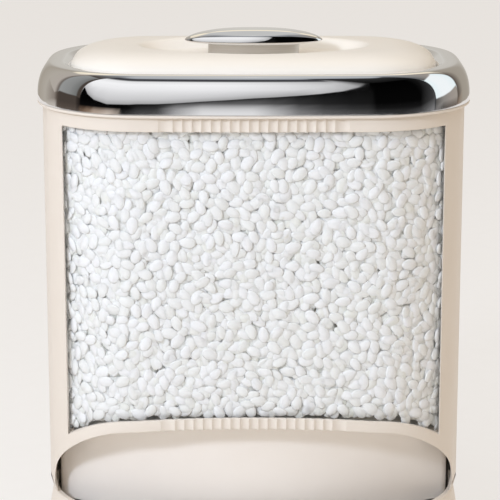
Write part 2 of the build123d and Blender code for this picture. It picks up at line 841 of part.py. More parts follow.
def knob_neck():
    top = dish_floor + knob_belly_height + neck_pocket - neck_pocket_gap
    foot = Pos(0, 0, dish_floor) * Ellipse(neck_half_length, neck_half_depth)
    neck = extrude(foot, amount=top - dish_floor)
    for x in (-knob_screw_x, knob_screw_x):
        neck -= post(x, 0, dish_floor - past, top + past, screw_hole_radius)
    return neck


def knob_screws():
    head_level = dish_floor - lid_wall
    length = lid_wall + knob_belly_height + neck_pocket + knob_screw_bite
    return [screw(x, 0, head_level, length) for x in (-knob_screw_x, knob_screw_x)]


# ---------------------------------------------------------------- one file for each piece
def foot_name(x, y):
    return "foot_" + ("front" if y < 0 else "rear") + ("_left" if x < 0 else "_right")


pieces = {
    "body_shell": body_shell(),
    "window_pane": window_pane(),
    "top_collar": top_collar(),
    "hopper": hopper(),
    "rice_fill": rice(),
    "base_shell": base_shell(),
    "base_floor": base_floor(),
    "base_screws": base_screws(),
    "rail_left": drawer_rail(-1),
    "rail_right": drawer_rail(1),
    "rail_screws": rail_screws(),
    "drawer_front": drawer_front(),
    "drawer_tray": drawer_tray(),
    "drawer_screws": drawer_screws(),
    "shutter_plate": shutter_plate(),
    "lid_ring": lid_ring(),
    "lid_dome": lid_dome(),
    "lid_liner": lid_liner(),
    "lid_seal": lid_seal(),
    "lid_screws": lid_screws(),
    "knob_cap": knob_cap(),
    "knob_neck": knob_neck(),
    "knob_screws": knob_screws(),
}
for x, y in mirrored_pairs(foot_x, foot_y):
    pieces[foot_name(x, y)] = rubber_foot(x, y)

os.makedirs("parts", exist_ok=True)
for name, shape in pieces.items():
    solids = shape if isinstance(shape, list) else [shape]
    whole = Compound([solid for item in solids for solid in item.solids()])
    export_step(whole, f"parts/{name}.step")
    print(name, len(whole.solids()), round(whole.volume, 1))
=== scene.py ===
import math
import bpy
import numpy as np
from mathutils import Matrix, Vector

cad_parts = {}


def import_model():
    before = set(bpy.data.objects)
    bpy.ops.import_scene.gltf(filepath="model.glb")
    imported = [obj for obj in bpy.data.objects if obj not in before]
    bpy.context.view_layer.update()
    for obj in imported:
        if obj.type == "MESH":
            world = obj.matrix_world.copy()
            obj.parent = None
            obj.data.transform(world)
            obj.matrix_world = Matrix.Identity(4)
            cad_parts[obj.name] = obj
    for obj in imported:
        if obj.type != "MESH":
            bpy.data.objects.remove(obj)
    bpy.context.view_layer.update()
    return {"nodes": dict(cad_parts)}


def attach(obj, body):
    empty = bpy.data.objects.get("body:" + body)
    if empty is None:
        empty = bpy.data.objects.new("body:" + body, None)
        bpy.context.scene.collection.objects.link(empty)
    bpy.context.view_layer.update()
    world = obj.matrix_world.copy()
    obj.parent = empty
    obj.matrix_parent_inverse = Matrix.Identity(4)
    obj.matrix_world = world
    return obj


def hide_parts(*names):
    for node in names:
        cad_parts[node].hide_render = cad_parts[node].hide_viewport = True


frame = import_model()


# ---- Feet. Four moulded pads of grey thermoplastic rubber, each pushed with its stem into a
# hole of the base floor. The rubber is matt, faintly cloudy and slightly rough to the touch.
def linear(code):
    """Linear colour for a socket from an sRGB hex value."""
    parts = [int(code[i:i + 2], 16) / 255 for i in (1, 3, 5)]
    return [p / 12.92 if p <= 0.04045 else ((p + 0.055) / 1.055) ** 2.4 for p in parts] + [1.0]


def add(material, kind, values=None, links=None, **settings):
    """Adds one shader node with its settings, the values on its sockets and the links into them."""
    node = material.node_tree.nodes.new("ShaderNode" + kind)
    for name, value in settings.items():
        setattr(node, name, value)
    for name, value in (values or {}).items():
        node.inputs[name].default_value = value
    for name, source in (links or {}).items():
        material.node_tree.links.new(source, node.inputs[name])
    return node


def empty_material(name):
    """A material without nodes yet."""
    made = bpy.data.materials.new(name)
    made.use_nodes = True
    made.node_tree.nodes.clear()
    return made


def moulded(name, light, deep, roughness, cloud_mm, grain_mm, relief_mm, **sockets):
    """Plastic or rubber out of a mould: faintly cloudy colour, fine skin, slightly uneven gloss."""
    made = empty_material(name)
    place = add(made, "TexCoord").outputs["Object"]
    cloud = add(made, "TexNoise", {"Scale": 1000 / cloud_mm, "Detail": 2.0}, {"Vector": place})
    skin = add(made, "TexNoise", {"Scale": 1000 / grain_mm, "Detail": 3.0}, {"Vector": place})
    colour = add(made, "Mix", {6: linear(light), 7: linear(deep)}, {0: cloud.outputs[0]}, data_type="RGBA")
    gloss = add(made, "MapRange", {"To Min": roughness - 0.05, "To Max": roughness + 0.05},
                {"Value": skin.outputs[0]})
    relief = add(made, "Bump", {"Strength": 0.5, "Distance": relief_mm / 1000}, {"Height": skin.outputs[0]})
    surface = {"Base Color": colour.outputs[2], "Roughness": gloss.outputs[0], "Normal": relief.outputs[0]}
    shader = add(made, "BsdfPrincipled", sockets, surface)
    add(made, "OutputMaterial", links={"Surface": shader.outputs[0]})
    return made


def dress(material, *nodes):
    """Gives CAD pieces their finish."""
    for node in nodes:
        for place in frame["nodes"][node].material_slots:
            place.material = material


foot_rubber = moulded("grey_thermoplastic_rubber", "#6A6865", "#565452", 0.78, 6.0, 0.5, 0.06)
dress(foot_rubber, "foot_front_left", "foot_front_right", "foot_rear_left", "foot_rear_right")


# ---- Base floor. A flat moulded sheet of cream polypropylene inside the skirt, matt like the
# other inner pieces. Polypropylene scatters light a little, so its colour is soft and even.
inner_polypropylene = moulded("cream_polypropylene", "#F0E9DF", "#EAE2D6", 0.52, 18.0, 0.9, 0.03)
dress(inner_polypropylene, "base_floor")


# ---- Screws. Pan-head self-tapping screws of zinc-plated steel hold the floor, the rails, the
# drawer front, the lid liner and the knob. Zinc plating is a dull grey metal with a fine bloom.
def zinc_plate():
    made = empty_material("zinc_plated_steel")
    place = add(made, "TexCoord").outputs["Object"]
    bloom_mm = 1.2
    bloom = add(made, "TexNoise", {"Scale": 1000 / bloom_mm, "Detail": 4.0}, {"Vector": place})
    colour = add(made, "Mix", {6: linear("#C9C8C4"), 7: linear("#A9A8A6")},
                 {0: bloom.outputs[0]}, data_type="RGBA")
    gloss = add(made, "MapRange", {"To Min": 0.26, "To Max": 0.46}, {"Value": bloom.outputs[0]})
    shader = add(made, "BsdfPrincipled", {"Metallic": 1.0},
                 {"Base Color": colour.outputs[2], "Roughness": gloss.outputs[0]})
    add(made, "OutputMaterial", links={"Surface": shader.outputs[0]})
    return made


screw_zinc = zinc_plate()
dress(screw_zinc, "base_screws", "rail_screws", "drawer_screws", "lid_screws", "knob_screws")


# ---- Base shell. A flared skirt of cream ABS with a rounded upper rim, moulded in one with the
# screw bosses and the spigot that the body sits on. Polished ABS has a fine satin gloss.
shell_abs = moulded("cream_satin_abs", "#ECE4DA", "#E8DFD4", 0.36, 30.0, 1.1, 0.02)
dress(shell_abs, "base_shell")


# ---- Drawer rails. Two channels of white acetal, screwed to the floor from below. Acetal is
# smooth, waxy and slightly see-through at thin edges, so its gloss is soft and wide.
rail_acetal = moulded("white_acetal", "#ECEAE5", "#E2E0DA", 0.42, 12.0, 0.8, 0.02)
dress(rail_acetal, "rail_left", "rail_right")


# ---- Drawer. Its front is the middle of the flared skirt, in the same cream ABS, screwed to a
# deep polypropylene tray. The acetal shutter plate clips on the tray's back edge by its tabs.
dress(shell_abs, "drawer_front")
dress(inner_polypropylene, "drawer_tray")
dress(rail_acetal, "shutter_plate")


# ---- Hopper. A thin cream polypropylene bin with sloped sides that drops the rice through its
# throat. Its bowed lower front wall shows inside the arched mouth, with a soft satin face.
hopper_polypropylene = moulded("cream_satin_polypropylene", "#FFFAF4", "#FBF5EE", 0.42, 24.0, 1.0, 0.02)
dress(hopper_polypropylene, "hopper")


# ---- Rice. Polished short-grain rice fills the bin and presses against the window. The grains
# are plump ovals with one blunter end and a rim painted paler as a glow of light, and they lie
# every way in loose layers, the deeper layers painted darker as shade.
mm = 0.001

# The housing's plan outline. Each quarter is a slightly bowed front arc, a round corner arc and a
# nearly straight side arc that run into each other without a kink.
half_width, half_depth, corner_radius = 130 * mm, 78.7 * mm, 64 * mm
front_bow, side_bow = 6.6 * mm, 1.5 * mm
front_radius = (half_width**2 + front_bow**2) / (2 * front_bow)
side_radius = (half_depth**2 + side_bow**2) / (2 * side_bow)
front_centre = Vector((0, front_radius - half_depth, 0))
side_centre = Vector((half_width - side_radius, 0, 0))
apart = side_centre - front_centre
to_front, to_side = front_radius - corner_radius, side_radius - corner_radius
along = (to_front**2 - to_side**2 + apart.length**2) / (2 * apart.length)
across = math.sqrt(to_front**2 - along**2)
unit = apart.normalized()
corner_centre = front_centre + unit * along + Vector((-unit.y, unit.x, 0)) * across
front_turn = math.atan2(corner_centre.x, front_centre.y - corner_centre.y)
side_turn = math.pi / 2 - math.atan2(-corner_centre.y, corner_centre.x - side_centre.x)


def on_outline(turn, offset):
    """X and Y on the plan outline, moved out by offset, where its normal has turned from the front."""
    turn, offset = np.broadcast_arrays(np.asarray(turn, float), np.asarray(offset, float))
    quarter = np.minimum(abs(turn), math.pi - abs(turn))

    def by_arc(front, corner, side):
        return np.where(quarter < front_turn, front, np.where(quarter < side_turn, corner, side))

    radius = by_arc(front_radius, corner_radius, side_radius) + offset
    x = by_arc(0.0, corner_centre.x, side_centre.x) + radius * np.sin(quarter)
    y = by_arc(front_centre.y, corner_centre.y, 0.0) - radius * np.cos(quarter)
    return np.where(turn < 0, -x, x), np.where(abs(turn) > math.pi / 2, -y, y)


def turn_at(x, offset=0.0):
    """Turn of the outline's normal where the front half of the outline passes x."""
    reach = abs(x)
    if reach < (front_radius + offset) * math.sin(front_turn):
        turn = math.asin(reach / (front_radius + offset))
    else:
        turn = math.asin(min(1.0, (reach - corner_centre.x) / (corner_radius + offset)))
    return math.copysign(turn, x)


# The mouth's arch, from its middle outwards: a nearly level crown, a shoulder and a tight hip arc.
mouth_crown, base_height = 125.4 * mm, 70 * mm
crown_radius, shoulder_radius, hip_radius = 930 * mm, 57 * mm, 36 * mm
half_mouth = half_width - 4.7 * mm
shoulder_turn = math.radians(48.5)
crown_share = half_mouth - hip_radius - (shoulder_radius - hip_radius) * math.sin(shoulder_turn)
crown_turn = math.asin(crown_share / (crown_radius - shoulder_radius))
crown_z = mouth_crown - crown_radius
shoulder_x = (crown_radius - shoulder_radius) * math.sin(crown_turn)
shoulder_z = crown_z + (crown_radius - shoulder_radius) * math.cos(crown_turn)
hip_x = shoulder_x + (shoulder_radius - hip_radius) * math.sin(shoulder_turn)
hip_z = shoulder_z + (shoulder_radius - hip_radius) * math.cos(shoulder_turn)


def arch_level(x, grow=0.0):
    """Height of the mouth's arch over x, moved outwards by grow."""
    x = abs(x)
    if x < (crown_radius + grow) * math.sin(crown_turn):
        return crown_z + math.sqrt((crown_radius + grow)**2 - x**2)
    if x < shoulder_x + (shoulder_radius + grow) * math.sin(shoulder_turn):
        return shoulder_z + math.sqrt((shoulder_radius + grow)**2 - (x - shoulder_x)**2)
    return hip_z + math.sqrt(max(0.0, (hip_radius + grow)**2 - (x - hip_x)**2))


def deselect():
    """Leaves edit mode and lets go of every object."""
    if bpy.context.object and bpy.context.object.mode == "EDIT":
        bpy.ops.object.mode_set(mode="OBJECT")
    bpy.ops.object.select_all(action="DESELECT")


def named(name, material):
    """Names the active piece and gives it its one material."""
    piece = bpy.context.object
    piece.name = name
    piece.data.name = name
    piece.data.materials.clear()
    piece.data.materials.append(material)
    return piece


def rice_starch():
    """Polished rice: glassy starch with its rim painted paler as a glow of light through thin edges; each
    grain a little warmer or greener, and the deeper layers darker as painted shade.
    """
    made = empty_material("polished_rice")
    place = add(made, "TexCoord").outputs["Object"]
    tone = add(made, "Attribute", attribute_name="tone")
    rim = add(made, "Attribute", attribute_name="rim")
    cloud_mm, cloud_relief = 2.5, 0.05 * mm
    cloud = add(made, "TexNoise", {"Scale": 1000 / cloud_mm, "Detail": 3.0}, {"Vector": place})
    body = add(made, "Mix", {6: linear("#EAECE4"), 7: linear("#F4F6F9")},
               {0: tone.outputs["Fac"]}, data_type="RGBA")
    # The rim is painted paler: a painted glow for light that passes through the grain's thin edges.
    painted_rim_glow = add(made, "MapRange", {"From Min": 0.35, "From Max": 0.95, "To Max": 0.85},
                {"Value": rim.outputs["Fac"]}, interpolation_type="SMOOTHSTEP")
    grain_with_painted_rim_glow = add(made, "Mix", {7: linear("#FFFFFF")},
                {0: painted_rim_glow.outputs[0], 6: body.outputs[2]}, data_type="RGBA")
    haze = add(made, "MapRange", {"From Min": 0.45, "From Max": 0.8, "To Max": 0.5},
               {"Value": cloud.outputs[0]})
    mottled = add(made, "Mix", {7: linear("#E8ECEE")},
                  {0: haze.outputs[0], 6: grain_with_painted_rim_glow.outputs[2]}, data_type="RGBA")
    relief = add(made, "Bump", {"Strength": 0.3, "Distance": cloud_relief}, {"Height": cloud.outputs[0]})
    starch = {"Roughness": 0.34, "IOR": 1.5, "Subsurface Weight": 0.25,
              "Subsurface Radius": (1.0, 1.0, 0.97), "Subsurface Scale": 1.2 * mm}
    shader = add(made, "BsdfPrincipled", starch,
                 {"Base Color": mottled.outputs[2], "Normal": relief.outputs[0]})
    add(made, "OutputMaterial", links={"Surface": shader.outputs[0]})
    return made


def rice_bed_with_painted_gap_shade():
    """The mass behind the outer grains: pale starch with khaki painted shade in its gaps, at grain size."""
    made = empty_material("shaded_rice_bed")
    place = add(made, "TexCoord").outputs["Object"]
    grain_mm, gap_depth = 6.0, 1.5 * mm
    gaps = add(made, "TexVoronoi", {"Scale": 1000 / grain_mm}, {"Vector": place})
    dark = add(made, "MapRange", {"From Min": 0.45, "From Max": 0.75}, {"Value": gaps.outputs["Distance"]})
    # The khaki in the gaps is painted shade, where the grains in front would shade the mass between them.
    colour = add(made, "Mix", {6: linear("#F6F4E8"), 7: linear("#D8C8A2")},
                 {0: dark.outputs[0]}, data_type="RGBA")
    relief = add(made, "Bump", {"Strength": 1.0, "Distance": gap_depth}, {"Height": gaps.outputs["Distance"]})
    relief.invert = True
    shader = add(made, "BsdfPrincipled", {"Roughness": 0.7},
                 {"Base Color": colour.outputs[2], "Normal": relief.outputs[0]})
    add(made, "OutputMaterial", links={"Surface": shader.outputs[0]})
    return made


# The bed is the CAD fill with its lumps smoothed away, drawn in to lie behind the grains.
join_gap, bed_voxel, bed_shrink = 0.01 * mm, 4 * mm, 3.5 * mm
deselect()
rice_bed = frame["nodes"]["rice_fill"].copy()
rice_bed.data = rice_bed.data.copy()
bpy.context.scene.collection.objects.link(rice_bed)
bpy.context.view_layer.objects.active = rice_bed
rice_bed.select_set(True)
bpy.ops.object.mode_set(mode="EDIT")
bpy.ops.mesh.select_all(action="SELECT")
bpy.ops.mesh.remove_doubles(threshold=join_gap)
bpy.ops.object.mode_set(mode="OBJECT")
rice_bed.data.remesh_voxel_size = bed_voxel
bpy.ops.object.voxel_remesh()
bpy.ops.object.mode_set(mode="EDIT")
bpy.ops.mesh.select_all(action="SELECT")
bpy.ops.mesh.vertices_smooth(factor=0.5, repeat=12)
bpy.ops.mesh.normals_make_consistent(inside=False)
bpy.ops.transform.shrink_fatten(value=-bed_shrink)
bpy.ops.object.mode_set(mode="OBJECT")
bpy.ops.object.shade_smooth()
rice_bed = named("rice_bed", rice_bed_with_painted_gap_shade())
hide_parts("rice_fill")
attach(rice_bed, "housing")

# One grain is shaped from a sphere of 48 faces, its poles on its two flat sides: drawn out
# lengthwise, flattened and blunted at one end. All the others are copies of its points.
grain_wide, grain_thick, grain_long = 3.45 * mm, 1.0 * mm, 5.2 * mm
mid_ring, mid_flat, mid_thick, blunting = 0.7071, 0.8, 0.78, 0.15
bpy.ops.mesh.primitive_uv_sphere_add(segments=12, ring_count=4, radius=1.0)
grain = bpy.context.object
bpy.ops.object.mode_set(mode="EDIT")
bpy.ops.mesh.select_all(action="SELECT")
bpy.ops.transform.rotate(value=math.pi / 2, orient_axis="X", center_override=(0, 0, 0))
bpy.ops.object.mode_set(mode="OBJECT")
grain_points = np.array([v.co for v in grain.data.vertices])
across_flat = np.hypot(grain_points[:, 0], grain_points[:, 2])
grain_rim = (across_flat > 0.9).astype(float)
between_rings = (across_flat > 0.1) & (across_flat < 0.9)
grain_points[between_rings] *= (mid_flat / mid_ring, mid_thick / mid_ring, mid_flat / mid_ring)
grain_points *= (grain_wide, grain_thick, grain_long)
grain_points[:, 0] *= 1 + blunting * grain_points[:, 2] / grain_long
grain_faces = [list(face.vertices) for face in grain.data.polygons]
bpy.ops.object.delete()
rice_material = rice_starch()
measured_depth = 8 * mm
front_step = front_radius - measured_depth
corner_step = corner_radius - measured_depth


def bent_round(distance, depth):
    """X and Y of a point that lies this far along the window from its middle and this deep."""
    length = abs(distance)
    join = front_step * front_turn
    turn = np.where(length < join, length / front_step, front_turn + (length - join) / corner_step)
    return on_outline(np.copysign(turn, distance), -depth)


def heap(name, places, spread, tone_low, tone_high, seed, to_frame):
    """One layer of grains, each turned at random in its layer and tipped a little out of it."""
    chance = np.random.default_rng(seed)
    tip_spread, roll_spread, smallest, largest = 0.1, 0.13, 0.86, 1.1
    points, rims, tones = [], [], []
    for place in places:
        swing = chance.uniform(0, 2 * math.pi)
        tip = chance.normal(0, tip_spread)
        roll = chance.normal(0, roll_spread)
        size = chance.uniform(smallest, largest)
        x, y, z = (grain_points * size).T
        x, y = x * math.cos(roll) - y * math.sin(roll), x * math.sin(roll) + y * math.cos(roll)
        y, z = y * math.cos(tip) - z * math.sin(tip), y * math.sin(tip) + z * math.cos(tip)
        x, z = x * math.cos(swing) - z * math.sin(swing), x * math.sin(swing) + z * math.cos(swing)
        y = y - y.min() + chance.uniform(0, spread)
        points.append(to_frame(place, x, y, z))
        rims.append(grain_rim)
        tones.append(np.full(len(x), chance.uniform(tone_low, tone_high)))
    points = np.concatenate(points)
    count = len(grain_points)
    faces = [[index + count * i for index in face] for i in range(len(places)) for face in grain_faces]
    mesh = bpy.data.meshes.new(name)
    mesh.from_pydata(points.tolist(), [], faces)
    mesh.attributes.new("rim", "FLOAT", "POINT").data.foreach_set("value", np.concatenate(rims))
    mesh.attributes.new("tone", "FLOAT", "POINT").data.foreach_set("value", np.concatenate(tones))
    mesh.shade_smooth()
    mesh.materials.append(rice_material)
    layer = bpy.data.objects.new(name, mesh)
    bpy.context.scene.collection.objects.link(layer)
    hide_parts("rice_fill")
    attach(layer, "housing")
    return layer


def hexagonal(reach_x, low, high, pitch, seed, jitter=0.3, row_share=0.866):
    """Places on a jittered grid of staggered rows."""
    chance = np.random.default_rng(seed)
    rows = []
    z, shift = low, 0.0
    while z < high:
        for x in np.arange(-reach_x + shift, reach_x, pitch):
            aside = chance.uniform(-jitter, jitter) * pitch
            up = chance.uniform(-jitter, jitter) * pitch
            rows.append((x + aside, z + up))
        z, shift = z + pitch * row_share, pitch / 2 - shift
    return rows


# Three layers press against the window: depth in mm, pitch in mm, lowest and highest tone. The
# deeper layers get lower tones, painted shade. Towards the window's sides the grains crowd nearer to the
# pane.
window_layers = ((5.1, 7.1, 0.6, 1.0), (6.0, 6.5, 0.3, 0.8), (7.1, 6.2, 0.0, 0.5))
seen_along, seen_low, seen_high = 142 * mm, 85 * mm, 308 * mm
seen_reach, over_arch = 121.5 * mm, 8.8 * mm
crowd_from, crowd_over, crowd_nearer = 100 * mm, 25 * mm, 1.8
place_seed, grain_seed, window_spread = 10, 20, 1.2 * mm
for number, (depth, pitch, low_tone, high_tone) in enumerate(window_layers):
    places = []
    for distance, z in hexagonal(seen_along, seen_low, seen_high, pitch * mm, place_seed + number):
        x = float(bent_round(distance, measured_depth)[0])
        if abs(x) < seen_reach and arch_level(x, over_arch) < z:
            places.append((distance, z))

    def behind_window(place, x, y, z, depth=depth):
        crowd = min(1.0, max(0.0, (abs(place[0]) - crowd_from) / crowd_over))
        px, py = bent_round(place[0] + x, (depth - crowd_nearer * crowd) * mm + y)
        return np.stack([px, py, place[1] + z], axis=1)

    heap(f"rice_layer_{number + 1}", places, window_spread, low_tone, high_tone,
         grain_seed + number, behind_window)

# Two layers lie on top of the fill, which has straight sides and round ends, under the lid. The lower
# one is toned darker, painted shade under the top one.
top_level, layer_drop, top_pitch = 311, 2.2, 6.4 * mm
top_reach, top_depth = 118 * mm, 66 * mm
straight_to, end_middle, end_radius = 50 * mm, 60 * mm, 58 * mm
top_place_seed, top_grain_seed, top_spread, lower_layer_painted_shade = 30, 40, 1.5 * mm, 0.3
for number in range(2):
    level = (top_level - layer_drop * number) * mm
    grid = hexagonal(top_reach, -top_depth, top_depth, top_pitch, top_place_seed + number)
    places = [(x, y) for x, y in grid
              if abs(x) < straight_to or math.hypot(abs(x) - end_middle, y) < end_radius]

    def on_top(place, x, y, z, level=level):
        return np.stack([place[0] + x, place[1] + z, level - y], axis=1)

    heap(f"rice_top_{number + 1}", places, top_spread, 0.75 - lower_layer_painted_shade * number, 1.0 - lower_layer_painted_shade * number,
         top_grain_seed + number, on_top)


# ---- Body shell. One deep moulding of cream ABS with a great window, an arched mouth and upright
# flutes in the strips above and below the window. Its free edges are rounded over by the mould.
shell_top, window_top, window_reach = 317.1 * mm, 308.5 * mm, 115 * mm
flute_pitch, flute_width, end_width, flute_depth = 5.63 * mm, 5.4 * mm, 8.6 * mm, 1.25 * mm
flutes_each_side, end_gap = 8, 0.23 * mm
flute_places = [(i * flute_pitch, flute_width) for i in range(-flutes_each_side, flutes_each_side + 1)]
last_flute = flutes_each_side * flute_pitch + end_gap + (flute_width + end_width) / 2
flute_places += [(-last_flute, end_width), (last_flute, end_width)]


def hollow_at(x):
    """How deep the flutes are at x."""
    for middle, width in flute_places:
        if abs(x - middle) < width / 2:
            radius = (width**2 / 4 + flute_depth**2) / (2 * flute_depth)
            return flute_depth - radius + math.sqrt(radius**2 - (x - middle)**2)
    return 0.0


# Places of the shell's upright edges: close together over the flutes and at the mouth's sides,
# first from the middle to the right by x, then round the corner and along the back by turn.
stations = []
for i in range(flutes_each_side + 1):
    centre = i * flute_pitch
    stations += [centre + share * flute_width / 2 for share in (-0.98, -0.7, -0.35, 0.0, 0.35, 0.7, 0.98)]
end_shares = (-0.98, -0.75, -0.45, -0.15, 0.15, 0.45, 0.75, 0.98)
stations += [last_flute + share * end_width / 2 for share in end_shares]
stations = [x for x in stations if x >= 0]
stations += [x * mm for x in (61, 65.5, 70, 74, 78, 82, 86, 90, 93.5, 97, 100, 103, 106, 108.5, 110.5)]
stations += [112.5 * mm, 115 * mm]
stations += [half_mouth - x * mm for x in (8.2, 6.2, 4.5, 3.1, 2.0, 1.15, 0.5, 0.12, 0.0)]
turns = [turn_at(x) for x in stations] + [turn_at(129 * mm), side_turn, math.pi / 2]
turns += [math.pi - turn for turn in (side_turn, 1.25, 1.05, 0.85, 0.65, 0.45, 0.25, front_turn)]
turns += [math.pi - turn_at(x * mm) for x in (55, 45, 35, 25, 15, 7, 0)]


def inside_by(x, y, offset):
    """Distance inwards from the outline that is moved out by offset."""
    x, y = abs(x), -abs(y)
    away = math.atan2(x - corner_centre.x, corner_centre.y - y)
    from_corner = math.hypot(x - corner_centre.x, y - corner_centre.y)
    if front_turn < away < side_turn and from_corner > 0:
        return corner_radius + offset - from_corner
    return min(front_radius + offset - math.hypot(x, y - front_centre.y),
               side_radius + offset - math.hypot(x - side_centre.x, y))


def start_line(points):
    """A new piece in edit mode with one line of edges through the points, drawn end to end."""
    deselect()
    bpy.ops.mesh.primitive_plane_add(size=mm, location=(0, 0, 0))
    bpy.ops.object.mode_set(mode="EDIT")
    bpy.ops.mesh.select_mode(type="VERT")
    bpy.ops.mesh.select_all(action="SELECT")
    bpy.ops.mesh.merge(type="CENTER")
    bpy.ops.transform.translate(value=points[0])
    for here, there in zip(points, points[1:]):
        bpy.ops.mesh.extrude_region_move(TRANSFORM_OT_translate={"value": there - here})
    bpy.ops.mesh.select_all(action="SELECT")


def apply_modifier(kind, **settings):
    """Adds a modifier to the active piece and applies it."""
    deselect()
    piece = bpy.context.view_layer.objects.active
    piece.select_set(True)
    bpy.ops.object.modifier_add(type=kind)
    for name, value in settings.items():
        setattr(piece.modifiers[-1], name, value)
    bpy.ops.object.modifier_apply(modifier=piece.modifiers[-1].name)


def face_outwards(piece):
    """Merges what lies together and turns every face outwards."""
    deselect()
    piece.select_set(True)
    bpy.context.view_layer.objects.active = piece
    bpy.ops.object.mode_set(mode="EDIT")
    bpy.ops.mesh.select_all(action="SELECT")
    bpy.ops.mesh.remove_doubles(threshold=join_gap)
    bpy.ops.mesh.normals_make_consistent(inside=False)
    bpy.ops.object.mode_set(mode="OBJECT")


# The wall is drawn as rows of faces. Two rows go at made-up levels first, and are then moved onto
# the arch and onto the window's lower edge, a strip above it.
wall, strip, edge_round, foot_tuck = 3 * mm, 7 * mm, 0.9 * mm, 1.6 * mm
tuck_row, arch_row, strip_row, side_rise, over_crown = 77 * mm, 100 * mm, 150 * mm, 13 * mm, 4 * mm
line = []
for turn in turns:
    x, y = on_outline(turn, 0.0)
    line.append(Vector((float(x), float(y), base_height)))
start_line(line)
row_levels = [base_height, tuck_row, arch_row, strip_row, window_top, shell_top]
for low, high in zip(row_levels, row_levels[1:]):
    bpy.ops.mesh.extrude_region_move(TRANSFORM_OT_translate={"value": (0, 0, high - low)})
bpy.ops.object.mode_set(mode="OBJECT")
shell = bpy.context.object
for point in shell.data.vertices:
    front = point.co.y < 0
    if abs(point.co.z - arch_row) < mm:
        inside = front and point.co.x <= half_mouth + 0.01 * mm
        point.co.z = arch_level(point.co.x) if inside else hip_z
    elif abs(point.co.z - strip_row) < mm:
        strip_level = arch_level(min(point.co.x, half_width - 1 * mm), strip)
        point.co.z = strip_level if front else hip_z + side_rise
    elif point.co.z < base_height + mm:
        towards = Vector((point.co.x, point.co.y, 0))
        point.co -= towards.normalized() * foot_tuck
bpy.ops.object.mode_set(mode="EDIT")
bpy.ops.mesh.select_all(action="DESELECT")
bpy.ops.mesh.select_mode(type="FACE")
bpy.ops.object.mode_set(mode="OBJECT")
for face in shell.data.polygons:
    x, y, z = face.center
    high = max(shell.data.vertices[i].co.z for i in face.vertices)
    under_arch = z < arch_level(x) and high <= arch_level(min(x, half_mouth)) + over_crown
    in_mouth = y < 0 and x < half_mouth and under_arch
    in_window = y < 0 and x < window_reach and z > arch_level(x, strip) and z < window_top
    face.select = in_mouth or in_window
bpy.ops.object.mode_set(mode="EDIT")
bpy.ops.mesh.delete(type="FACE")
bpy.ops.object.mode_set(mode="OBJECT")
mirror_gap = 0.02 * mm
apply_modifier("MIRROR", merge_threshold=mirror_gap)
face_outwards(shell)
apply_modifier("SOLIDIFY", thickness=wall, offset=-1.0, use_even_offset=True)

# The window and the mouth are cut straight back, so at the front the points of the wall's inner
# side move to the x of the outer points that they belong to.
for point in shell.data.vertices:
    x, y, z = point.co
    if y < 0 and inside_by(x, y, 0.0) > 2 * mm:
        outer_x = on_outline(turn_at(x, -wall), 0.0)[0]
        if abs(outer_x) < half_mouth + 0.05 * mm:
            x, y = on_outline(turn_at(outer_x, -wall), -wall)
            point.co = (x, y, z)
apply_modifier("BEVEL", width=edge_round, segments=3, limit_method="ANGLE", angle_limit=math.radians(60))

# The flutes are pressed into the outer side and fade out through the wall.
fluted_reach = 58 * mm
for point in shell.data.vertices:
    x, y, z = point.co
    if y < 0 and abs(x) < fluted_reach:
        offset = (front_centre.y - y) / math.cos(turn_at(x)) - front_radius
        point.co.y += hollow_at(x) * min(1.0, max(0.0, (offset + wall) / (2 * mm)))
shell = named("body_shell_moulding", shell_abs)
bpy.ops.object.shade_smooth_by_angle(angle=math.radians(22))
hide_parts("body_shell")
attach(shell, "housing")


# ---- Window pane. A clear curved plate of polished acrylic, flush with the shell and held by a
# flange behind it. It is all but invisible, with only a faint uneven gloss.
def clear_acrylic():
    made = empty_material("clear_polished_acrylic")
    place = add(made, "TexCoord").outputs["Object"]
    smear_mm = 40
    smear = add(made, "TexNoise", {"Scale": 1000 / smear_mm, "Detail": 3.0}, {"Vector": place})
    gloss = add(made, "MapRange", {"To Min": 0.02, "To Max": 0.1}, {"Value": smear.outputs[0]})
    film = add(made, "MapRange", {"To Min": 0.015, "To Max": 0.035}, {"Value": smear.outputs[0]})
    shader = add(made, "BsdfPrincipled", {"Base Color": linear("#F4F8F8"), "IOR": 1.49},
                 {"Roughness": gloss.outputs[0], "Alpha": film.outputs[0]})
    add(made, "OutputMaterial", links={"Surface": shader.outputs[0]})
    return made


dress(clear_acrylic(), "window_pane")


# ---- Top collar. A cream ABS frame snapped into the shell's top, with a thin rounded lip that
# stands out all round and carries the lid. It is moulded in the shell's colour.
def section_points(pairs):
    """Points of a cross-section in the middle of the front, from offset and level in millimetres."""
    return [Vector((0, -(half_depth + offset * mm), level * mm)) for offset, level in pairs]


def carried_round(pairs, steps=(26, 30, 8)):
    """Carries a cross-section along the outline's three arcs, then mirrors it to all four quarters."""
    start_line(section_points(pairs))
    bpy.ops.mesh.remove_doubles(threshold=0.001 * mm)
    arcs = ((front_centre, front_turn), (corner_centre, side_turn - front_turn),
            (side_centre, math.pi / 2 - side_turn))
    for (centre, turn), count in zip(arcs, steps):
        bpy.ops.mesh.spin(steps=count, angle=turn, center=centre, axis=(0, 0, -1))
    bpy.ops.object.mode_set(mode="OBJECT")
    apply_modifier("MIRROR", use_axis=(True, True, False), merge_threshold=mirror_gap)
    face_outwards(bpy.context.object)


nose_turns = np.linspace(-math.pi / 2, math.pi / 2, 9)
nose = [(2.2 + 0.9 * math.cos(turn), 318.05 + 0.95 * math.sin(turn)) for turn in nose_turns]
inner_frame = [(-11, 319), (-11, 312.7), (-9.2, 312.7), (-9.2, 317.1), (-5.1, 317.1), (-5.1, 313.6)]
carried_round([(-3.3, 317.1)] + nose + inner_frame + [(-3.3, 313.6), (-3.3, 317.1)])
collar = named("collar_frame", shell_abs)
bpy.ops.object.shade_smooth_by_angle(angle=math.radians(40))
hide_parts("top_collar")
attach(collar, "housing")


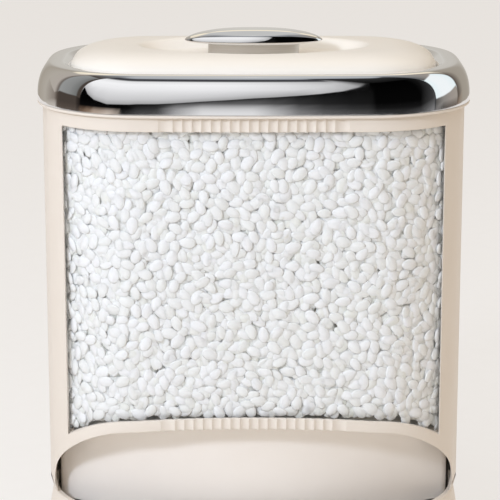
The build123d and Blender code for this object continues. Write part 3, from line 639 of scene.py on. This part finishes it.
# ---- Lid liner and seal. The liner is a flat polypropylene panel with a skirt that
# plugs the collar, the seal a soft silicone strip round that skirt, milky and slightly sticky.
dress(inner_polypropylene, "lid_liner")
milkiness = {"Subsurface Weight": 0.2}
seal_silicone = moulded("milky_silicone", "#DEDEDA", "#D2D2CE", 0.55, 8.0, 0.7, 0.03, **milkiness)
dress(seal_silicone, "lid_seal")


# ---- Lid dome. A pillow-shaped panel of cream ABS, polished smoother than the body, with an
# oval finger well pressed into its middle. Four bosses under it take the liner's screws.
dome_inset, dome_foot, dome_rise, border_width = 17.8 * mm, 339.5 * mm, 10.5 * mm, 27 * mm
dish_floor, dish_half_x, dish_half_y = 343.5 * mm, 62 * mm, 31 * mm
dish_slope, dish_soft = 6.5 / 8.5, 1.6 * mm


def dome_level(x, y):
    """Height of the dome: a rounded border, a level middle and the finger well with a soft rim."""
    depth = max(0.0, inside_by(x, y, -dome_inset))
    fall = max(0.0, 1 - depth / border_width)
    pillow = dome_foot + dome_rise * math.sqrt(max(0.0, 1 - fall**2))
    reach = math.hypot(x / dish_half_x, y / dish_half_y)
    outside = (reach - 1) * math.hypot(x, y) / max(reach, 1e-6)
    if outside < 0:
        return dish_floor
    well = dish_floor + dish_slope * outside
    blend = max(0.0, dish_soft - abs(pillow - well)) / dish_soft
    level = min(pillow, well) - blend**2 * dish_soft / 4
    return max(level, dish_floor) if well < pillow else level


# Its edge is found by halving: how far out from the middle the dome's outline lies each way.
deselect()
bpy.ops.mesh.primitive_circle_add(vertices=320, radius=1.0, fill_type="NOTHING")
dome = bpy.context.object
for point in dome.data.vertices:
    angle = math.atan2(point.co.y, point.co.x)
    low, high = 0.0, 1.0
    for _ in range(40):
        reach = (low + high) / 2
        x, y = reach * math.cos(angle), reach * math.sin(angle)
        low, high = (reach, high) if inside_by(x, y, -dome_inset) > 0 else (low, reach)
    point.co = (low * math.cos(angle), low * math.sin(angle), dome_foot)
bpy.ops.object.mode_set(mode="EDIT")
bpy.ops.mesh.select_mode(type="VERT")
bpy.ops.mesh.select_all(action="SELECT")
share = 1.0
border_shares = [1 - 0.3 * (i / 24)**1.5 for i in range(1, 25)]
middle_shares = [0.7 - 0.0125 * i for i in range(1, 49)] + [0.06, 0.03]
for next_share in border_shares + middle_shares:
    bpy.ops.mesh.extrude_region_move()
    bpy.ops.transform.resize(value=(next_share / share, next_share / share, 1), center_override=(0, 0, 0))
    share = next_share
bpy.ops.mesh.extrude_region_move()
bpy.ops.mesh.merge(type="CENTER")
bpy.ops.object.mode_set(mode="OBJECT")
for point in dome.data.vertices:
    point.co.z = dome_level(point.co.x, point.co.y)
bpy.ops.object.mode_set(mode="EDIT")
bpy.ops.mesh.select_all(action="SELECT")
bpy.ops.mesh.normals_make_consistent(inside=False)
bpy.ops.mesh.select_all(action="DESELECT")
bpy.ops.mesh.select_non_manifold()
skirt, dome_wall = 5.0 * mm, 2.2 * mm
bpy.ops.mesh.extrude_region_move(TRANSFORM_OT_translate={"value": (0, 0, -skirt)})
bpy.ops.object.mode_set(mode="OBJECT")
if sum(face.normal.z for face in dome.data.polygons) < 0:
    dome.data.flip_normals()
apply_modifier("SOLIDIFY", thickness=dome_wall, offset=-1.0)
lid_abs = moulded("cream_polished_abs", "#FFFCF6", "#FDF9F0", 0.3, 40.0, 1.4, 0.012)
dome = named("lid_dome_panel", lid_abs)
bpy.ops.object.shade_smooth_by_angle(angle=math.radians(40))
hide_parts("lid_dome")
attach(dome, "lid")


# ---- Lid ring. A rounded frame of ABS plated with bright chrome. The plating is a near-perfect
# mirror with a very faint waviness from the moulding under it.
def bright_chrome(name, wave_mm):
    """Chrome plating whose casting under it waves over wave_mm, with a haze of fine wiping marks."""
    made = empty_material(name)
    haze_mm, wave_relief = 3.0, 0.02 * mm
    place = add(made, "TexCoord").outputs["Object"]
    wave = add(made, "TexNoise", {"Scale": 1000 / wave_mm, "Detail": 1.0}, {"Vector": place})
    haze = add(made, "TexNoise", {"Scale": 1000 / haze_mm, "Detail": 3.0}, {"Vector": place})
    gloss = add(made, "MapRange", {"To Min": 0.02, "To Max": 0.055}, {"Value": haze.outputs[0]})
    colour = add(made, "Mix", {6: linear("#F6F6F8"), 7: linear("#F1F1F3")},
                 {0: wave.outputs[0]}, data_type="RGBA")
    relief = add(made, "Bump", {"Strength": 0.25, "Distance": wave_relief}, {"Height": wave.outputs[0]})
    surface = {"Base Color": colour.outputs[2], "Roughness": gloss.outputs[0], "Normal": relief.outputs[0]}
    shader = add(made, "BsdfPrincipled", {"Metallic": 1.0}, surface)
    add(made, "OutputMaterial", links={"Surface": shader.outputs[0]})
    return made


# Its section in mm stands upright at the foot, rounds over to a level top and turns down inside.
face_out, face_in, face_foot, face_rise, first_rise = 3.0, 8.5, 319, 23, 0.3
ring_face = [(face_out, face_foot + first_rise)]
for angle in np.linspace(0.0, math.pi / 2, 25):
    left_over = math.cos(angle)
    rise = (1 - left_over**1.5)**0.4 if left_over > 1e-9 else 1.0
    if rise > first_rise / face_rise:
        ring_face.append((face_out - face_in * (1 - left_over), face_foot + face_rise * rise))
ring_lip = [(-8, 342), (-11, 342), (-12.6, 341.95), (-13.3, 341.75), (-13.9, 341.35), (-15, 340.5)]
carried_round(ring_face + ring_lip + [(-17.5, 338.6)], steps=(40, 44, 14))
plated_wall = 2.0 * mm
apply_modifier("SOLIDIFY", thickness=plated_wall, offset=-1.0)
chrome = bright_chrome("bright_chrome_on_abs", 45.0)
ring = named("lid_ring_plated", chrome)
bpy.ops.object.shade_smooth_by_angle(angle=math.radians(50))
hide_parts("lid_ring")
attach(ring, "lid")


# ---- Knob neck. An oval post of satin aluminium between the well's floor and the grip, brushed
# round its girth, so its gloss is drawn out up and down.
def satin_aluminium():
    made = empty_material("satin_brushed_aluminium")
    brush_relief = 0.03 * mm
    # The brushed lines run round the post, 0.4 mm apart and about 17 mm long.
    place = add(made, "TexCoord").outputs["Object"]
    lines = add(made, "Mapping", {"Scale": (60, 60, 2500)}, {"Vector": place})
    brush = add(made, "TexNoise", {"Scale": 1.0, "Detail": 4.0}, {"Vector": lines.outputs[0]})
    colour = add(made, "Mix", {6: linear("#E4E2E0"), 7: linear("#D2CFCA")},
                 {0: brush.outputs[0]}, data_type="RGBA")
    gloss = add(made, "MapRange", {"To Min": 0.3, "To Max": 0.5}, {"Value": brush.outputs[0]})
    relief = add(made, "Bump", {"Strength": 0.3, "Distance": brush_relief}, {"Height": brush.outputs[0]})
    surface = {"Base Color": colour.outputs[2], "Roughness": gloss.outputs[0], "Normal": relief.outputs[0]}
    shader = add(made, "BsdfPrincipled", {"Metallic": 1.0}, surface)
    add(made, "OutputMaterial", links={"Surface": shader.outputs[0]})
    return made


dress(satin_aluminium(), "knob_neck")


# ---- Knob cap. An almond-shaped grip of chromed zinc casting: a low crown, a crisp crease all
# round and flanks that lean in underneath. Two screws through the dome hold it.
def full_arc(middle, tip, along):
    """Height of a line that stays high and drops to blunt tips, at a share of the half length."""
    return dish_floor + (tip + (middle - tip) * max(0.0, 1 - abs(along)**2.5)**0.6) * mm


# Sizes in mm, levels over the well's floor. The flank is walked down from the crease in equal
# steps, by how many degrees its face looks up at each share of the way.
half_length, crease_out, crease_up, belly_up, tip_up = 42.6, 7.9, 15.8, 7.4, 9.3
crown_step, crown_step_width, crown_slope = 0.38, 1.0, 0.04
flank_length, flank_steps, flank_ends = 11.3, 48, 0.8
flank_shares = np.linspace(0, 1, flank_steps + 1)
looks_up = np.radians(np.interp(flank_shares, (0, 0.42, 0.5, 0.8, 0.93, 1), (60, 52, 27, 8, -55, -85)))
flank_out = crease_out + np.concatenate([[0], np.cumsum(np.sin(looks_up[1:]))]) * flank_length / flank_steps
flank_up = crease_up - np.concatenate([[0], np.cumsum(np.cos(looks_up[1:]))]) * flank_length / flank_steps
flank_up = (flank_up - flank_up[-1]) / (flank_up[0] - flank_up[-1])


def flank(share):
    """Cross-section below the crease, then across the belly: distance out in mm, share of the height."""
    place = min(share / flank_ends, 1.0) * flank_steps
    out = float(np.interp(place, range(flank_steps + 1), flank_out))
    up = float(np.interp(place, range(flank_steps + 1), flank_up))
    return out * min(1.0, (1 - share) / 0.2), up


deselect()
bpy.ops.mesh.primitive_uv_sphere_add(segments=120, ring_count=84, radius=1.0)
cap = bpy.context.object
for point in cap.data.vertices:
    along = point.co.z
    width = math.sqrt(max(0.0, 1 - along**2))
    around = math.atan2(point.co.y, point.co.x)
    side = math.copysign(1, math.cos(around))
    belly = full_arc(belly_up, tip_up, along)
    crest = full_arc(crease_up, tip_up, along)
    if around >= 0:
        out = crease_out * math.cos(around)
        inwards = crease_out - abs(out)
        rise = crown_step * min(1.0, inwards / crown_step_width) + crown_slope * inwards
        level = crest + rise * mm * width**2
    else:
        reach, up = flank(min(-around, math.pi + around) / (math.pi / 2))
        out, level = side * reach, belly + (crest - belly) * up
    point.co = (half_length * mm * along, -out * width * mm, level)
cap = named("knob_cap_plated", bright_chrome("bright_chrome_on_zinc", 30.0))
face_outwards(cap)
bpy.ops.object.shade_smooth_by_angle(angle=math.radians(35))
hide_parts("knob_cap")
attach(cap, "lid")


# ---- Studio floor and backdrop. A plain pale sweep under and behind the dispenser, lifted towards
# white for the eye, metal and glass, and still shaded by the object's own shadow.
def plainly_seen(owner):
    """One for rays from the eye and through or off glass and metal, none for rays of soft light."""
    seen = add(owner, "LightPath")
    first = add(owner, "Math", links={0: seen.outputs["Is Camera Ray"], 1: seen.outputs["Is Glossy Ray"]},
                operation="MAXIMUM")
    return add(owner, "Math", links={0: first.outputs[0], 1: seen.outputs["Is Transmission Ray"]},
               operation="MAXIMUM").outputs[0]


def pale_paper():
    """Pale paper with faint flecks, lifted towards white where it is plainly seen."""
    made = empty_material("pale_paper")
    place = add(made, "TexCoord").outputs["Object"]
    fleck = add(made, "TexNoise", {"Scale": 60.0, "Detail": 2.0}, {"Vector": place})
    colour = add(made, "Mix", {6: linear("#F4F2EE"), 7: linear("#EFECE7")},
                 {0: fleck.outputs[0]}, data_type="RGBA")
    paper = add(made, "BsdfDiffuse", links={"Color": colour.outputs[2]})
    glow = add(made, "Emission", {"Color": linear("#FFFFFF"), "Strength": 1.0})
    share = add(made, "Math", {1: 0.6}, {0: plainly_seen(made)}, operation="MULTIPLY")
    surface = add(made, "MixShader", links={0: share.outputs[0], 1: paper.outputs[0], 2: glow.outputs[0]})
    add(made, "OutputMaterial", links={"Surface": surface.outputs[0]})
    return made


deselect()
bpy.ops.mesh.primitive_plane_add(size=14.0, location=(0, 0, 0))
floor = named("floor_sweep", pale_paper())


# ---- Studio lights. A soft key lamp from the left, a weak rim lamp from the right and a softbox in
# front light the dispenser. A ring of cards, seen only in polished metal, gives the chrome its
# white and dark bands, and the air round all of it is warm and dim.
def lamp_at(name, place, target, size, power, colour):
    """A round area lamp that looks at the target and isn't seen itself."""
    bpy.ops.object.light_add(type="AREA", location=place)
    lamp = bpy.context.object
    lamp.name = name
    lamp.data.shape = "DISK"
    lamp.data.size, lamp.data.energy = size, power
    lamp.data.color = linear(colour)[:3]
    lamp.visible_camera = lamp.visible_glossy = False
    lamp.rotation_euler = (Vector(target) - lamp.location).to_track_quat("-Z", "Y").to_euler()


def card(name, columns, strength=1.0, distance=2.2, centre=(0, 0, 0.33)):
    """A curved card of upright columns: each a turn from the front, with its elevations and tones."""
    deselect()
    rows = len(columns[0][1])
    bpy.ops.mesh.primitive_grid_add(x_subdivisions=len(columns) - 1, y_subdivisions=rows - 1, size=2.0)
    made = bpy.context.object
    tones = []
    for point in made.data.vertices:
        column = columns[round((point.co.x + 1) / 2 * (len(columns) - 1))]
        up, tone = column[1][round((point.co.y + 1) / 2 * (rows - 1))]
        turn, up = math.radians(column[0]), math.radians(up)
        way = Vector((math.sin(turn) * math.cos(up), -math.cos(turn) * math.cos(up), math.sin(up)))
        point.co = Vector(centre) + distance * way
        tones += linear(tone)
    made.data.attributes.new("tone", "FLOAT_COLOR", "POINT").data.foreach_set("color", tones)
    finish = empty_material(name + "_cloth")
    tone = add(finish, "Attribute", attribute_name="tone")
    glow = add(finish, "Emission", {"Strength": strength}, {"Color": tone.outputs["Color"]})
    add(finish, "OutputMaterial", links={"Surface": glow.outputs[0]})
    made = named(name, finish)
    made.visible_camera = made.visible_shadow = made.visible_transmission = False
    return made


lamp_at("key_lamp", (-0.88, -1.26, 0.98), (0, 0, 0.19), 0.22, 10.0, "#E4EEFF")
lamp_at("rim_lamp", (1.5, 0.25, 0.7), (0, 0, 0.2), 0.4, 2.2, "#FFFAF4")
on_left = [(0, "#C4C8CE"), (45, "#F6FAFF"), (80, "#FFFFFF")]
in_middle = [(0, "#94928F"), (45, "#E6E4E2"), (80, "#FFFFFF")]
on_right = [(0, "#5E5C5A"), (45, "#BAB8B4"), (80, "#FFFFFF")]
softbox_turns = range(-70, 40, 13)
softbox_tones = [on_left if turn < -30 else in_middle if turn < 5 else on_right for turn in softbox_turns]
softbox = card("softbox", list(zip(softbox_turns, softbox_tones)), strength=1.6)
softbox.visible_glossy = False


def grey(level):
    """Hex value of a grey from 0 to 255."""
    return "#" + f"{round(level):02X}" * 3


def before(turn, foot, near, middle, edge, dim, peak, first=172):
    """Column in front of the chrome: a table falling to dark, then a white card from edge upwards."""
    top = peak if peak > 90 else 44
    first = min(first, peak)
    table = foot if isinstance(foot, str) else grey(foot)
    border = near if isinstance(near, str) else grey(near)
    return turn, [(-15, table), (-9.3, border), (-4, grey(middle)), (min(2.8, edge - 2), grey(dim)),
                  (edge - 1, grey(dim * 0.35)), (edge, grey(first)),
                  (edge + 7, grey(first + 0.45 * (peak - first))),
                  (max(edge + 14, 32), grey(first + 0.9 * (peak - first))),
                  (max(edge + 16, 45), grey(peak)), (max(edge + 18, 56), grey(top * 0.93)),
                  (max(edge + 20, 61), "#48484A"), (max(edge + 22, 68), "#3C3C40"),
                  (max(edge + 25, 75), "#B4B8BC"), (89.5, "#D2D4D4")]


def front(turn, edge):
    """Column in the middle of the front: one patch of light on the table, under a slanting white card."""
    patch = min(1.0, max(0.0, (turn + 9.2) / 3.2)) / (1 + (max(0.0, turn) / 3.8)**2)
    peak = 255 - 0.15 * max(0.0, turn + 8)**2
    first = 172 if turn < 5 else 0.88 * peak
    return before(turn, 66 + 182 * patch, 54 + 182 * patch, 24 + 182 * patch, edge, 16 + 86 * patch,
                  peak, first)


def shade(turn, floor):
    """Column in the dark part of the room, right of the white card."""
    return before(turn, floor, 0.8 * floor, 22, 52.0, 7, 44, 18)


def beside(turn, foot, near, low, high, wall, around, ceiling="#8E9194"):
    """Column beside the chrome: floor tones, a wall between low and high, a dull top."""
    return turn, [(-15, foot), (-9.3, near), (min(-4, low - 4), around), (low - 3, around),
                  (low - 1.5, around), (low, wall), (low + 4, wall), (low + 8, wall),
                  ((low + high) / 2, wall), (high - 2, wall), (high, wall), (high + 2, around),
                  (max(high + 5, 76), ceiling), (89.5, "#BEC0C0")]


def behind(turn, wall, glow="#FFF4DC", ceiling="#C8C8C6"):
    """Column behind the chrome: a plain wall, a bright warm strip over it and the ceiling."""
    return turn, [(up, wall) for up in (-15, -8, -2, 5, 12, 20, 28, 35, 41)] + [
        (45, glow), (62, glow), (67, ceiling), (78, ceiling), (89.5, "#CCCCCA")]


# The cards, from behind the dispenser round its left side, the front and the right side.
tent = card("reflected_room", [
    behind(-180, "#D2CFC8"),
    behind(-150, "#A8A094"),
    behind(-128, "#B4ADA2"),
    beside(-108, "#C9C2BA", "#C9C2BA", 2, 50, "#B5ADA4", "#8C837A"),
    beside(-103, "#6A5F56", "#5A5048", 4, 52, "#6E665F", "#5A5048"),
    beside(-100, "#6A5F56", "#5A5048", 6, 52, "#9A9B99", "#4A423C"),
    beside(-86, "#8A7F76", "#5A5048", 6, 52, "#8E8F8D", "#4A423C"),
    beside(-76, "#A0958A", "#5A5048", 6, 52, "#777876", "#4A423C"),
    beside(-74, "#A0958A", "#4A423C", 5, 55, "#4A423C", "#3A332E"),
    beside(-70.5, "#8A7868", "#6A5A4C", 4, 56, "#4A423C", "#241F1C"),
    before(-69.5, "#8A7464", "#75604F", 12, 24, 5, 255, 200),
    before(-62, "#B09A88", "#9A826E", 12, 12, 5, 255),
    before(-54, "#D8C8BA", "#C8B4A2", 14, 5, 5, 255),
    before(-40, "#E8DCD0", "#DCCCBE", 14, 0.5, 5, 255),
    before(-30, "#D8CCC0", "#B0A498", 8, 1.0, 5, 255),
    before(-25, 60, 40, 8, 1.2, 5, 255),
    before(-16, 70, 56, 16, 1.5, 14, 255),
    front(-8.7, 2.5),
    front(-7, 4.0),
    front(-4.6, 7.0),
    front(-2, 10.0),
    front(0, 13.0),
    front(2, 15.0),
    front(4.2, 18.0),
    front(6.5, 22.0),
    front(9, 28.0),
    front(11.5, 38.0),
    before(13.8, 74, 62, 32, 48.0, 12, 120, 110),
    shade(15, 70),
    shade(30, 66),
    shade(62, 92),
    before(79, 150, 138, 104, 52.0, 66, 38, 30),
    beside(80, "#3C3E40", "#46484A", 40, 44, "#3C3E40", "#303234"),
    beside(81.5, "#8A8886", "#7A7876", 1, 35, "#F0FCFD", "#5A5856"),
    beside(92, "#7A6A5C", "#4A4642", 2, 39, "#FAFFFF", "#8E8A84"),
    beside(104, "#8A7868", "#5A524A", 4, 42, "#FAFFFF", "#A09890"),
    beside(116, "#9A8878", "#6A5E54", 7, 44, "#F0FCFD", "#A69E94"),
    beside(118, "#9A8878", "#8A7868", 0, 52, "#5A5048", "#5A5048"),
    behind(130, "#A39B8E"),
    behind(150, "#A8A094"),
    behind(180, "#D2CFC8"),
])
tent.visible_diffuse = False

# The air is plain white to the eye, and warm and dim as light on the dispenser.
world = bpy.data.worlds.new("studio_air")
bpy.context.scene.world = world
world.use_nodes = True
world.node_tree.nodes.clear()
warm = add(world, "Background", {"Color": linear("#FFEAD2"), "Strength": 0.55})
white = add(world, "Background", {"Color": linear("#FFFFFF"), "Strength": 1.0})
air = add(world, "MixShader", links={0: plainly_seen(world), 1: warm.outputs[0], 2: white.outputs[0]})
add(world, "OutputWorld", links={"Surface": air.outputs[0]})


# ---- Camera. A long lens a little above the lid's height, looking slightly down on the front,
# close enough that the base runs out of the picture.
camera_place, look_down = (-0.0022, -1.317, 0.5346), 13.48
bpy.ops.object.camera_add(location=camera_place, rotation=(math.radians(90 - look_down), 0, 0))
camera = bpy.context.object
camera.data.lens = 153.94
camera.data.sensor_width = 36.0
bpy.context.scene.camera = camera
bpy.context.scene.view_settings.view_transform = "Standard"
